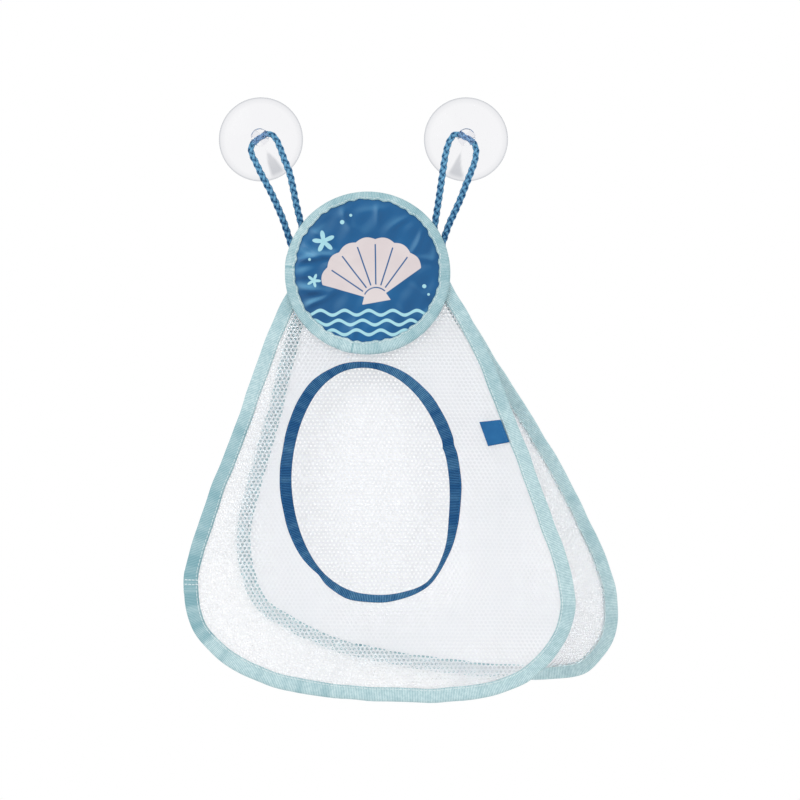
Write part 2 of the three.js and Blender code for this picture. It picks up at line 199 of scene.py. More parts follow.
def slow_mottle():
    """Slow variation of a dye or of handling, from 0 to 1, with its own contrast."""
    group = Group("mottle", {"Scale": 30.0, "Contrast": 2.0}, ("Factor",))
    inputs = {"Vector": group.start["Vector"], "Scale": group.start["Scale"], "Detail": 3.0}
    centred = group.math("SUBTRACT", group.add("TexNoise", inputs).outputs[0], 0.5)
    spread = group.math("MULTIPLY", centred, group.start["Contrast"])
    group.put("Factor", group.math("ADD", spread, 0.5, clamp=True))
    return group.tree


RIBBED, WEAVE, MOTTLE = ribbed_weave(), plain_weave(), slow_mottle()


class Material(Nodes):
    """A material with one Principled shader, whose plain values are set on its own sockets."""

    def __init__(self, name, **sockets):
        self.material = bpy.data.materials.new(name)
        self.material.use_nodes = True
        super().__init__(self.material.node_tree)
        self.tree.nodes.clear()
        self.shader = self.add("BsdfPrincipled")
        for key, value in sockets.items():
            self.shader.inputs[key.replace("_", " ")].default_value = value
        self.add("OutputMaterial", {"Surface": self.shader.outputs[0]})
        self.at = self.add("TexCoord").outputs

    def attribute(self, name):
        return self.add("Attribute", attribute_name=name).outputs["Fac"]

    def mottle(self, scale, contrast):
        inputs = {"Vector": self.at["Object"], "Scale": scale, "Contrast": contrast}
        return self.add("Group", inputs, node_tree=MOTTLE).outputs[0]

    def weave(self, scale):
        return self.add("Group", {"Vector": self.at["Object"], "Scale": scale}, node_tree=WEAVE).outputs[0]

    def ribs(self, rib_pitch, thread_pitch):
        inputs = {"Vector": self.at["UV"], "Rib Pitch": rib_pitch, "Thread Pitch": thread_pitch}
        return self.add("Group", inputs, node_tree=RIBBED).outputs

    def feed(self, socket, value):
        self.tree.links.new(value, self.shader.inputs[socket])

    def bump(self, height, strength, distance):
        node = self.add("Bump", {"Height": height, "Strength": strength, "Distance": distance})
        self.feed("Normal", node.outputs[0])


# Materials

def woven_tape(name, light, dark, deep, rib_pitch, thread_pitch, roughness):
    """A ribbed ribbon. Its tone, part dye and part painted light and shade, varies along it and slowly all
    over; deep is the painted shade of its grooves.
    """
    made = Material(name, Roughness=roughness, Specular_IOR_Level=0.12)
    ribs = made.ribs(rib_pitch, thread_pitch)
    slow = made.math("MULTIPLY", made.mottle(34.0, 3.2), 0.35)
    quick = made.math("MULTIPLY", made.mottle(420.0, 4.0), 0.35)
    dye = made.mix(made.math("ADD", made.attribute("tape_tone_and_painted_light"), slow, clamp=True), light, dark)
    dye = made.mix(quick, dye, dark)
    # Painted shade: the grooves between the ribs are darkened towards deep
    made.feed("Base Color", made.mix(ribs["Groove"], dye, deep, "MULTIPLY"))
    made.bump(ribs["Height"], 0.8, 0.00016)
    return made.material


def net_material(name, clearness):
    made = Material(name, Roughness=0.75, Transmission_Weight=clearness, IOR=1.12)
    clean = made.mix(made.mottle(18.0, 2.0), "fdfdfe", "f7f8fa")
    # The rear net's threads are painted greyer: painted shade, for the inside of the bag
    made.feed("Base Color", made.mix(made.attribute("net_painted_shade"), clean, "f7f8fa"))
    made.bump(made.weave(9000.0), 0.35, 0.0001)
    return made.material


def cord_material():
    """Braided yarn: each strand's map runs along it, so its filaments lie along it too."""
    made = Material("blue_cord", Roughness=0.6, Specular_IOR_Level=0.15)
    across = made.add("SeparateXYZ", {0: made.at["UV"]}).outputs[1]
    filament = made.math("SINE", made.math("MULTIPLY", across, 26.0))
    # Painted shade: each strand is darker along one flank, as if lit from one side, and darker where it dips
    # under the others
    flank = made.span(made.math("COSINE", made.math("MULTIPLY", across, TURN / 6)), -0.6)
    inner = made.math("MULTIPLY", made.attribute("strand_painted_shade"), 0.72)
    deep = made.math("MAXIMUM", inner, made.math("POWER", flank, 1.1))
    # Painted shade that darkens the cord towards the badge and lightens it a little near the knob
    deep = made.math("ADD", deep, made.attribute("cord_painted_shade"), clamp=True)
    dye = made.mix(deep, "7ebddf", "154c7a")
    dye = made.mix(made.math("MULTIPLY", made.mottle(60.0, 2.0), 0.16), dye, "225f92")
    dye = made.mix(made.span(filament, -1.0, 1.0, 0.28, 0.0), dye, "1f5688")
    # Painted reflection: inside the knob's bore the cord is painted paler, for the clear plastic over it
    made.feed("Base Color", made.mix(made.attribute("knob_painted_reflection"), dye, "8fb0de"))
    made.bump(filament, 0.5, 0.00008)
    return made.material


def clear_material():
    """Clear soft plastic, with painted shade at its rim, a painted reflection in a wedge, and a little
    painted grey where the view runs along its surface.
    """
    made = Material("clear_pvc", Transmission_Weight=1.0, IOR=1.14)
    made.feed("Roughness", made.span(made.mottle(45.0, 2.2), 0.0, 1.0, 0.12, 0.2))
    # Painted grey where the view runs along the surface, darkest at edges seen edge-on
    edge = made.span(made.add("LayerWeight", {0: 0.5}).outputs[1], 0.45)
    cup_shade_and_reflection = made.attribute("cup_shade_and_reflection")
    calm = made.span(cup_shade_and_reflection, -1.0, 0.0, 0.1)
    tint = made.mix(made.math("MULTIPLY", edge, calm), "f5f5f7", "aeb3bb")
    made.feed("Base Color", made.mix(cup_shade_and_reflection, tint, "a9adb5"))
    return made.material


def steel_material():
    made = Material("spring_steel", Metallic=1.0)
    drawn = made.mottle(400.0, 2.0)
    made.feed("Base Color", made.mix(drawn, "a7abb0", "7d8288"))
    made.feed("Roughness", made.span(drawn, 0.0, 1.0, 0.25, 0.45))
    return made.material


def foam_material():
    made = Material("padding", Roughness=0.95)
    cells = made.add("TexVoronoi", {"Vector": made.at["Object"], "Scale": 900.0}).outputs[0]
    made.feed("Base Color", made.mix(cells, "f1f1ec", "dcdcd4"))
    made.bump(cells, 0.5, 0.0002)
    return made.material


def thread_material(name, light, dark):
    made = Material(name, Roughness=0.6, Specular_IOR_Level=0.2)
    inputs = {"Vector": made.at["Object"], "Scale": 2500.0, "Detail": 1.0}
    twist = made.add("TexNoise", inputs).outputs[0]
    made.feed("Base Color", made.mix(twist, light, dark))
    made.bump(twist, 0.4, 0.00008)
    return made.material


def cloth_material(name, printed=False):
    """Coated woven cloth, dyed blue. The printed one has painted highlights and painted shade on its folds,
    and a plain sea print, whose shapes are given by signed distances in millimetres, negative inside."""
    made = Material(name, Specular_IOR_Level=0.28)
    slow = made.mottle(26.0, 2.4)
    color = made.mix(slow, "0c5d92", "094e7f")
    if printed:
        fold_light = made.attribute("fold_painted_light")
        # Painted highlights on folds that face the upper left, and painted shade on the others
        color = made.mix(made.math("MULTIPLY", fold_light, 1.15, clamp=True), color, "5e9cc2")
        color = made.mix(made.math("MULTIPLY", fold_light, -1.1, clamp=True), color, "063a66")
        pink = made.mix(slow, "dbd1d0", "d2c5c6")
        for shape, ink in (("print_aqua", "a5d5de"), ("print_pink", pink), ("print_line", "2b5c8e")):
            color = made.mix(made.span(made.attribute(shape), 0.16, -0.16), color, ink)
    made.feed("Base Color", color)
    made.feed("Roughness", made.span(slow, 0.0, 1.0, 0.3, 0.42))
    made.bump(made.weave(7200.0), 0.3, 0.00008)
    return made.material


def label_material():
    made = Material("woven_label", Roughness=0.55, Specular_IOR_Level=0.15)
    ribs = made.ribs(0.5, 0.35)
    dye = made.mix(made.mottle(90.0, 2.0), "2a6fa4", "205e92")
    # Painted shade in the grooves between the ribs
    groove = made.math("MULTIPLY", ribs["Groove"], 0.25)
    made.feed("Base Color", made.mix(groove, dye, "1b5085"))
    made.bump(ribs["Height"], 0.5, 0.00008)
    return made.material


TEAL = woven_tape("teal_tape", "f3fdfd", "a9cbd2", "adc9ce", 1.15, 1.05, 0.8)
RIBBON = woven_tape("blue_ribbon", "6da3c8", "2d6ca2", "68889b", 1.1, 1.05, 0.6)
NET = net_material("white_net", 0.6)
BAND_NET = net_material("white_net_band", 0.8)
CORD = cord_material()
CLEAR = clear_material()
STEEL = steel_material()
FOAM = foam_material()
PRINTED_CLOTH = cloth_material("coated_cloth", printed=True)
PLAIN_CLOTH = cloth_material("plain_coated_cloth")
LABEL = label_material()
PALE_THREAD = thread_material("pale_thread", "f2f8f8", "dbeaec")
BLUE_THREAD = thread_material("blue_thread", "3f83ba", "2a6499")


# Curves

def unit(vectors):
    return vectors / np.linalg.norm(vectors, axis=-1, keepdims=True)


def reach_along(line):
    """The way along a line to each of its points."""
    return np.concatenate([[0], np.cumsum(np.linalg.norm(np.diff(line, axis=0), axis=1))])


def sample(at, places, values):
    """The rows of values that belong to the given places, read at others between them."""
    return np.stack([np.interp(at, places, column) for column in values.T], axis=1)


def turned(x, y, angle):
    """A place as seen from axes that are turned by an angle."""
    return x * math.cos(angle) + y * math.sin(angle), y * math.cos(angle) - x * math.sin(angle)


def between(a, b, c, d, share):
    """A point between b and c, on the centripetal curve through a, b, c and d."""
    knots = [0.0]
    for p, q in ((a, b), (b, c), (c, d)):
        knots.append(knots[-1] + max(np.linalg.norm(q - p) ** 0.5, 1e-6))
    t = knots[1] + (knots[2] - knots[1]) * share

    def mix(p, q, i, j):
        return p * ((knots[j] - t) / (knots[j] - knots[i])) + q * ((t - knots[i]) / (knots[j] - knots[i]))

    first, middle, last = mix(a, b, 0, 1), mix(b, c, 1, 2), mix(c, d, 2, 3)
    return mix(mix(first, middle, 0, 2), mix(middle, last, 1, 3), 1, 2)


def smooth_line(points, closed, fine):
    """A smooth line through the points, with a number of fine steps from each to the next."""
    p = [np.array(q, float) for q in points]
    n = len(p)
    made = []
    for i in range(n if closed else n - 1):
        b, c = p[i], p[(i + 1) % n]
        a = p[i - 1] if closed or i else 2 * b - c
        d = p[(i + 2) % n] if closed or i + 2 < n else 2 * c - b
        made += [between(a, b, c, d, k / fine) for k in range(fine)]
    made.append(p[0] if closed else p[-1])
    return np.array(made)


def evenly(line, count):
    """count + 1 points an even way apart on the line, and its length."""
    reach = reach_along(line)
    return sample(np.linspace(0, reach[-1], count + 1), reach, line), reach[-1]


class Outline:
    """A closed flat outline, with its even stations, its directions inwards and its length."""

    def __init__(self, points, step):
        line = smooth_line(points, True, 40)
        self.count = int(round(reach_along(line)[-1] / step))
        even, self.length = evenly(line, self.count)
        self.points = even[:-1]
        self.along = unit(np.roll(self.points, -2, axis=0) - np.roll(self.points, 2, axis=0))
        self.inward = np.stack([-self.along[:, 1], self.along[:, 0]], axis=1)
        self.share = np.arange(self.count) / self.count
        self.reach = self.share * self.length

    def inset(self, distance, every=1):
        return (self.points + self.inward * distance)[::every]


def inside(polygon, x, y):
    """Which of the points lie inside the closed polygon."""
    within = np.zeros(len(x), bool)
    for (ax, ay), (bx, by) in zip(polygon, np.roll(polygon, -1, axis=0)):
        crosses = (ay > y) != (by > y)
        with np.errstate(divide="ignore", invalid="ignore"):
            within ^= crosses & (x < (bx - ax) * (y - ay) / (by - ay) + ax)
    return within


def nearest(outline, x, y):
    """Each point's distance to an outline."""
    points = outline.points[::6]
    tree = KDTree(len(points))
    for i, (px, py) in enumerate(points):
        tree.insert((px, py, 0), i)
    tree.balance()
    return np.array([tree.find((a, b, 0))[2] for a, b in zip(x, y)])


def ease(value, low, high):
    t = np.clip((value - low) / (high - low), 0, 1)
    return t * t * (3 - 2 * t)


def waves(share, terms):
    """A smooth closed variation round an outline, from terms of size, count and start."""
    return sum(size * np.sin(TURN * (turns * share + start)) for size, turns, start in terms)


def ripples(x, y, terms):
    """Gentle folds of slack cloth, from terms of size, direction, wave length and start."""
    return sum(size * np.sin(TURN * (turned(x, y, angle)[0] / length + start))
               for size, angle, length, start in terms)


def opening_points():
    """The opening's points, from the right over the top: an oval, swollen in places."""
    made = []
    for i in range(20):
        turn = TURN * i / 20
        up = math.sin(turn) * OPENING_HEIGHT / 2
        across = math.cos(turn) * OPENING_WIDTH / 2 * (1 - OPENING_TAPER_SHARE * math.sin(turn))
        swell = 1
        for place, spread, reach in OPENING_SWELL_SHARES:
            off = i / 20 - place - round(i / 20 - place)
            swell += OPENING_WIDTH * reach * math.exp(-(off / spread) ** 2) / math.hypot(up, across)
        x, y = turned(across * swell, up * swell, OPENING_LEAN)
        made.append((OPENING_SIDE + x, y - OPENING_DROP))
    return made


TAPE_STEP, RIBBON_STEP = 0.4, 0.3
front_outline, rear_outline = (
    Outline([(x * PANEL_WIDTH, y * PANEL_DROP) for x, y in shares], TAPE_STEP)
    for shares in (FRONT_SHARES, REAR_SHARES)
)
opening_outline = Outline(opening_points(), RIBBON_STEP)
badge_outline = Outline([
    (BADGE_RADIUS * math.cos(TURN * i / 24), BADGE_RADIUS * math.sin(TURN * i / 24)) for i in range(24)
], TAPE_STEP)


# Where the panels' own planes lie in the frame

def place_front(x, y, back):
    """From the front panel's plane, in millimetres from the badge's centre, to metres in the frame."""
    return np.stack([
        BADGE_SIDE + x + 0 * back,
        -BADGE_DEPTH + back * math.cos(LEAN) + y * math.sin(LEAN),
        BADGE_HEIGHT - back * math.sin(LEAN) + y * math.cos(LEAN),
    ], axis=-1) * MM


def place_rear(x, y, back):
    return np.stack([
        BADGE_SIDE + x + 0 * back, -REAR_DEPTH + back + 0 * y, BADGE_HEIGHT + y + 0 * back,
    ], axis=-1) * MM


FRONT_FOLDS = [(0.9, 0.3, 95, 0.1), (0.7, 1.4, 130, 0.6), (0.5, 2.3, 62, 0.35), (0.3, 0.9, 41, 0.8)]
REAR_FOLDS = [(1.0, 0.5, 110, 0.4), (0.8, 1.9, 84, 0.1), (0.4, 2.8, 57, 0.7)]


def front_slack(x, y):
    """How far the front net lies off its plane, towards the wall: it hangs forwards where it is free."""
    free = ease(nearest(front_outline, x, y), 7, 42) * ease(np.hypot(x, y), 60, 92)
    return -free * (2.6 + ripples(x, y, FRONT_FOLDS))


def rear_slack(x, y):
    return -ease(nearest(rear_outline, x, y), 7, 46) * (2.4 + ripples(x, y, REAR_FOLDS))


# Mesh helpers

def make_object(name, verts, faces, material, smooth=True):
    mesh = bpy.data.meshes.new(name)
    mesh.from_pydata([tuple(v) for v in verts], [], faces)
    mesh.update()
    mesh.polygons.foreach_set("use_smooth", [smooth] * len(mesh.polygons))
    mesh.materials.append(material)
    return add_object(name, mesh)


def set_map(made, values):
    """A UV map from one pair of values for each corner of each face."""
    layer = made.data.uv_layers.new(name="cloth_map")
    flat = np.array([pair for face in values for pair in face], dtype=np.float32)
    layer.data.foreach_set("uv", flat.ravel())


def paint(made, name, values):
    """A value at each vertex, which materials read by its name."""
    layer = made.data.attributes.new(name, "FLOAT", "POINT")
    layer.data.foreach_set("value", np.asarray(values, dtype=np.float32))


def only(made):
    bpy.ops.object.select_all(action="DESELECT")
    made.select_set(True)
    bpy.context.view_layer.objects.active = made


def apply_modifiers(made):
    only(made)
    for modifier in list(made.modifiers):
        bpy.ops.object.modifier_apply(modifier=modifier.name)


def solidify(made, thickness):
    modifier = made.modifiers.new("cloth_thickness", "SOLIDIFY")
    modifier.thickness, modifier.offset = thickness * MM, 0
    apply_modifiers(made)


def face_outwards(made):
    only(made)
    bpy.ops.object.mode_set(mode="EDIT")
    bpy.ops.mesh.select_all(action="SELECT")
    bpy.ops.mesh.normals_make_consistent(inside=False)
    bpy.ops.object.mode_set(mode="OBJECT")


def dress(made, body, node=None):
    """Puts a piece on its body, in the place of a solid if one is named, which it hides."""
    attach(made, body)
    if node:
        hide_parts(node)


def loft(name, grid, along, across, material):
    """A ring of closed sections, grid[station, corner], with a map in millimetres along and across it."""
    rings, corners = grid.shape[:2]
    faces, values = [], []
    for i in range(rings):
        n = (i + 1) % rings
        for j in range(corners):
            k = (j + 1) % corners
            faces.append((i * corners + j, i * corners + k, n * corners + k, n * corners + j))
            low, high = across[j], across[j + 1]
            values.append(((along[i], low), (along[i], high), (along[i + 1], high), (along[i + 1], low)))
    made = make_object(name, grid.reshape(-1, 3), faces, material)
    set_map(made, values)
    return made


class Tubes:
    """Capped tubes of one mesh, in millimetres, with a map of the way along each and the corner."""

    def __init__(self):
        self.verts, self.faces, self.values = [], [], []

    def add(self, centres, wide, thick, corners, along=None):
        """A tube, from its middle line and the two half axes of its section."""
        turns = TURN * np.arange(corners)[:, None] / corners
        rings = centres[:, None] + wide[:, None] * np.cos(turns) + thick[:, None] * np.sin(turns)
        along = range(len(rings)) if along is None else along
        first, last = len(self.verts), len(rings) - 1
        self.verts += list(rings.reshape(-1, 3))
        for i in range(last):
            low, high = along[i], along[i + 1]
            for k in range(corners):
                a, n = first + i * corners, (k + 1) % corners
                self.faces.append((a + k, a + n, a + corners + n, a + corners + k))
                self.values.append(((low, k), (low, k + 1), (high, k + 1), (high, k)))
        for i, order in ((0, range(corners)), (last, range(corners - 1, -1, -1))):
            self.faces.append(tuple(first + i * corners + k for k in order))
            self.values.append(tuple((along[i], k) for k in order))

    def build(self, name, material, mapped=False):
        made = make_object(name, np.array(self.verts) * MM, self.faces, material)
        if mapped:
            set_map(made, self.values)
        face_outwards(made)
        return made


# Folded tapes

LEG_SHARES = (1.0, 0.82, 0.64, 0.48)
NOSE = ((1.25, 1.0), (0.72, 0.96), (0.3, 0.72), (0.06, 0.34))


def folded_tape(name, outline, place, material, width, back_width, fold, edge, ribs, slack=None,
                outwards=False, lift=0.0, level=0.0, thickness=0.5, tone=0.3, laps=(), sway=0.0):
    """A tape folded over an edge. width and back_width are its two legs' widths all along it, fold is half
    its thickness at the fold, edge at its sewn inner edge, and ribs the ribs' height and pitch. The fold
    wavers by lift off the panel's plane, the whole tape lies at level and is moved inwards by sway, and tone
    is its darkness, part dye and part painted light and shade. Each lap, where its ends lie over each other,
    has its middle's share of the way and its length; the lap is painted lighter, and a painted shadow line
    follows its end."""
    even = np.zeros(outline.count)
    rib = ribs[0] * np.cos(TURN * outline.reach / ribs[1])
    for middle_share, long in laps:
        off = ((outline.share - middle_share + 0.5) % 1 - 0.5) * outline.length
        lapped = np.abs(off) < long / 2
        # The lap is painted lighter, and a painted shadow line 1.6 mm long follows its end
        rib = rib + 0.22 * lapped
        tone = tone + 0.8 * ((off > long / 2) & (off < long / 2 + 1.6)) - 0.15 * lapped

    section = []
    for side, leg in ((-1, width), (1, back_width)):
        rows = []
        for share in LEG_SHARES:
            half = fold + (edge - fold) * ease(share * leg, fold * 1.1, leg)
            rows.append((share * leg, side * (half + rib)))
        reach = np.minimum(fold, 0.36 * leg)
        rows += [(a * reach - rib * (1 - b), side * (b * fold + rib * b)) for a, b in NOSE]
        section += rows + [(-rib, 0)] if side < 0 else rows[::-1]
    inner = (fold - thickness) * 0.9
    section += [
        (back_width, edge - thickness), (back_width * 0.5, inner), (thickness, 0),
        (width * 0.5, -inner), (width, thickness - edge),
    ]
    into = np.stack([even + a + sway for a, _ in section], axis=1)
    back = np.stack([even + b for _, b in section], axis=1)
    back = back + level + (even + lift)[:, None] * (1 - ease(into, 0, width[:, None] * 0.75))
    inward = -outline.inward if outwards else outline.inward
    x, y = (outline.points[:, k, None] + inward[:, k, None] * into for k in (0, 1))
    if slack is not None:
        back = back + slack(x.ravel(), y.ravel()).reshape(x.shape)
    middle = outline.count // 2
    across = reach_along(np.stack([into[middle], back[middle]], axis=1))
    across = np.append(across, across[-1] + thickness)
    along = np.append(outline.reach, outline.length)
    made = loft(name, place(x, y, back), along, across, material)
    face_outwards(made)
    paint(made, "tape_tone_and_painted_light", np.repeat(even + tone, len(section)))
    return made


# A stitch's arch: shares of its half length, and of the thread's radius its lift and its thickness
STITCH_ARCH = np.array([(-1, -0.9, 0.45), (-0.72, 0, 1), (0, 0.3, 1), (0.72, 0, 1), (1, -0.9, 0.45)])


def stitch_row(name, centres, alongs, outs, length, radius, material):
    """A row of short sewn stitches, each a low arch of thread that dips in at both ends."""
    reach, lift, share = STITCH_ARCH.T[:, :, None]
    tubes = Tubes()
    for centre, along, out in zip(centres, alongs, outs):
        middle = centre + along * (reach * length / 2) + out * (lift * radius)
        tubes.add(middle, np.cross(along, out) * radius * share, out * radius * share, 6)
    return tubes.build(name, material)


def tape_stitches(name, outline, place, into, back, material, outwards=False, slack=None,
                  pitch=3.0, length=2.3, radius=0.22):
    """Stitches along a tape's inner edge, at a distance from its fold and a height off the panel's plane."""
    count = int(outline.length / pitch)
    picks = (np.arange(count) * outline.count / count).astype(int)
    inward = (-outline.inward if outwards else outline.inward)[picks]
    points = outline.points[picks] + inward * into[picks, None]
    level = np.full(count, back)
    if slack is not None:
        level = level + slack(*points.T)
    centres = place(*points.T, level) / MM
    alongs = place(*(points + outline.along[picks]).T, level) / MM - centres
    outs = place(*points.T, level + math.copysign(1, back)) / MM - centres
    return stitch_row(name, centres, alongs, outs, length, radius, material)


def lap_stitches(name, outline, place, share, width, fold, edge):
    """Two rows of stitches across a tape's front, where its ends lap."""
    centres, alongs, outs = [], [], []
    for shift in (-1.6, 1.6):
        pick = int(round(share * outline.count + shift * outline.count / outline.length)) % outline.count
        for k in range(4):
            into = 1.6 + (width - 2.6) * k / 3
            high = -(fold + (edge - fold) * float(ease(into, fold * 1.1, width)) + 0.3)
            here, ahead = (outline.points[pick] + outline.inward[pick] * (into + step) for step in (0, 1))
            centres.append(place(*here, high) / MM)
            alongs.append(place(*ahead, high) / MM - centres[-1])
            outs.append(place(*here, high - 1) / MM - centres[-1])
    return stitch_row(name, centres, alongs, outs, 2.0, 0.3, PALE_THREAD)


# Nets

NET_PITCH, NET_THICK = 3.0, 0.36
NET_HOLE, REAR_NET_HOLE = 2.02, 1.3
ROW = NET_PITCH * math.sqrt(3) / 2
KEY_STEPS = 50


def cell_middle(row, column):
    return (column + (0.5 if row % 2 else 0)) * NET_PITCH, row * ROW


def lattice(cells, hole_width, wrap=0.0):
    """Points and faces of a net of hexagons, from each cell's middle and whether it has a hole."""
    points, faces, found = [], [], {}
    turns = [TURN * (k + 0.5) / 6 for k in range(6)]
    corner, hole = (
        [(size / math.sqrt(3) * math.cos(a), size / math.sqrt(3) * math.sin(a)) for a in turns]
        for size in (NET_PITCH, hole_width)
    )
    span = round(wrap * KEY_STEPS)
    for x, y, open_cell in cells:
        ring = []
        for dx, dy in corner:
            column = round((x + dx) * KEY_STEPS)
            key = (column % span if span else column, round((y + dy) * KEY_STEPS))
            if key not in found:
                found[key] = len(points)
                points.append((x + dx, y + dy))
            ring.append(found[key])
        if not open_cell:
            faces.append(tuple(ring))
            continue
        first = len(points)
        points += [(x + dx, y + dy) for dx, dy in hole]
        faces += [(ring[k], ring[(k + 1) % 6], first + (k + 1) % 6, first + k) for k in range(6)]
    return np.array(points), faces


def panel_cells(outline, hole_outline):
    border = outline.inset(NET_INSET + 1.2, 6)
    low, high = border.min(axis=0), border.max(axis=0)
    cells = np.array([
        cell_middle(row, column)
        for row in range(int(low[1] / ROW) - 1, int(high[1] / ROW) + 2)
        for column in range(int(low[0] / NET_PITCH) - 1, int(high[0] / NET_PITCH) + 2)
    ])
    keep = inside(border, *cells.T)
    if hole_outline is not None:
        keep &= ~inside(hole_outline.inset(-2.3, 4), *cells.T)
    return cells[keep]


def panel_net(panel, outline, place, slack, body, split, hole_width, grey, hole_outline=None):
    """A panel's net in two pieces, left and right of the line of split, each with its size and area."""
    cells = panel_cells(outline, hole_outline)
    right = cells[:, 0] >= split
    made = []
    for side, part in (("left", cells[~right]), ("right", cells[right])):
        points, faces = lattice([(x, y, True) for x, y in part], hole_width)
        grid = place(*points.T, slack(*points.T))
        net = make_object(f"{panel}_mesh_{side}", grid, faces, NET, smooth=False)
        paint(net, "net_painted_shade", np.full(len(points), grey))
        solidify(net, NET_THICK)
        dress(net, body, f"{panel}_net")
        size = part.max(axis=0) - part.min(axis=0) + NET_PITCH
        area = len(part) * NET_PITCH * ROW
        made.append((net, tuple(float(v) * MM for v in size), float(area) * MM * MM))
    return made


# Cord loops: six strands braided round a core

STRANDS, STRAND_CORNERS, CORE_CORNERS = 6, 6, 10
BRAID_LAY, CORD_STEP = 16.5, 0.55
STRAND_REACH, STRAND_WEAVE = 1.62, 0.36
STRAND_WIDE, STRAND_THICK, CORE_RADIUS = 1.36, 0.66, 1.25
# Heights below the cups' middle and the painted shade that darkens the cord's blue there; below 0 it
# lightens it
CORD_PAINTED_SHADE = (0, 20, 33, 57, 69), (-0.1, -0.08, 0.02, 0.16, 0.3)


def cord_frames(route):
    """Points along a cord, their directions along it and to two sides, and its length."""
    line = smooth_line(route, False, 30)
    points, length = evenly(line, int(reach_along(line)[-1] / CORD_STEP))
    along = unit(np.gradient(points, axis=0))
    sides = []
    side = np.cross(along[0], (0, 1, 0))
    for direction in along:
        side = unit(side - direction * np.dot(side, direction))
        sides.append(side)
    return points, along, np.array(sides), np.cross(along, sides), length


def from_knob(points):
    return np.hypot(np.abs(points[:, 0]) - CUP_X, points[:, 2])


def braided_cord(side_name, route):
    points, _, side, up, length = cord_frames(route)
    reach = np.linspace(0, length, len(points))
    over = np.cos(STRANDS / 2 * TURN * reach / BRAID_LAY)
    slim = 1 - 0.12 * (1 - ease(np.abs(reach - reach[np.argmin(from_knob(points))]), 6, 40))
    slim = slim * (0.7 + 0.3 * ease(np.minimum(reach, length - reach), -0.6, 1.6))
    thick = slim[:, None]
    tubes, tones = Tubes(), []
    for strand in range(STRANDS):
        way = 1 if strand % 2 == 0 else -1
        angle = (way * TURN * reach / BRAID_LAY + TURN * (strand // 2) / (STRANDS / 2))[:, None]
        out = side * np.cos(angle) + up * np.sin(angle)
        middle = points + out * ((STRAND_REACH + way * STRAND_WEAVE * over) * slim)[:, None]
        wide = unit(np.cross(unit(np.gradient(middle, axis=0)), out))
        tubes.add(middle, wide * STRAND_WIDE * thick, out * STRAND_THICK * thick, STRAND_CORNERS, reach)
        # Painted shade: a strand is darkest where it dips under the others, and the core darkest of all
        tones.append(np.repeat(0.5 - 0.5 * way * over, STRAND_CORNERS))
    tubes.add(points, side * CORE_RADIUS * thick, up * CORE_RADIUS * thick, CORE_CORNERS, reach)
    tones.append(np.ones(len(points) * CORE_CORNERS))
    cord = tubes.build(side_name + "_braided_cord", CORD, mapped=True)
    at = np.array(tubes.verts)
    paint(cord, "strand_painted_shade", np.concatenate(tones))
    paint(cord, "cord_painted_shade", np.interp(-at[:, 2], *CORD_PAINTED_SHADE))
    paint(cord, "knob_painted_reflection", 0.62 * (1 - ease(from_knob(at), 5.0, 6.4)))
    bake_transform(cord)
    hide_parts(side_name + "_cord_loop")


def cord_tacks(side_name, route):
    """Thread wrapped over both ends of a cord, which sews them to the back of the badge."""
    points, along, _, _, _ = cord_frames(route)
    wall = np.array([0, math.cos(LEAN), -math.sin(LEAN)])
    turns = np.radians(np.linspace(-115, 115, 9))[:, None]
    tubes = Tubes()
    for ends in (range(4, 13, 2), range(len(points) - 5, len(points) - 14, -2)):
        for wrap, i in enumerate(ends):
            out = unit(wall - along[i] * np.dot(wall, along[i]))
            across = np.cross(along[i], out)
            slant = (0.35 if wrap % 2 else -0.35) * turns / turns[-1]
            line = points[i] + 2.3 * (out * np.cos(turns) + across * np.sin(turns)) + along[i] * slant
            line = np.vstack([line[0] - out * 1.3, line, line[-1] - out * 1.3])
            side = np.cross(unit(np.gradient(line, axis=0)), along[i])
            tubes.add(line, side * 0.19, np.tile(along[i] * 0.19, (len(line), 1)), 6)
    dress(tubes.build(side_name + "_cord_end_stitches", BLUE_THREAD), "bag")


# Suction cups: a disc drawn out ring by ring into the lip, the cone and the knob, then bored through

CUP_RINGS = [
    (2, 2.38), (6, 2.27), (12, 1.85), (18, 1.16), (22, 0.54), (24.6, 0.08), (25.2, 0), (29.3, 0),
    (29.8, 0.16), (30, 0.5), (29.9, 0.9), (29.5, 1.18), (28.6, 1.34), (26, 1.75), (22, 2.7), (18, 3.95),
    (14, 5.4), (10.5, 6.75), (7.6, 7.95), (6.2, 9.0), (5.6, 10.2), (5.4, 11.6), (5.4, 14.4), (5.6, 15.0),
    (6.1, 15.5), (6.3, 16.1), (6.3, 18.4), (6.1, 19.1), (5.6, 19.65), (4.8, 19.95), (3, 20),
]


def cup_painted_greying(x, y, side):
    """How much painted shade and painted reflection grey the plastic at a place on a cup: painted shade at
    its rim, and a painted reflection in a wedge that widens from the knob down. The knob itself is clearest,
    at -1."""
    r = np.hypot(x, y)
    rim = ease(r, 28.9, 29.7) * 0.65
    out = np.clip((r - 9) / 19, 0, 1)
    middle, half = (26.5, 2 + 8 * np.minimum(2.5 * out, 1)) if side > 0 else (22 - 7 * out, 2 + 10.5 * out)
    off = np.abs(np.degrees(np.arctan2(x * side, -y)) - middle)
    wedge = (1 - ease(off, 0.7 * half, 1.3 * half)) * ease(r, 8, 13) * (1 - ease(r, 27.6, 29))
    return np.where(r < 7, -1, np.maximum(rim, (0.42 + 0.2 * out) * wedge))


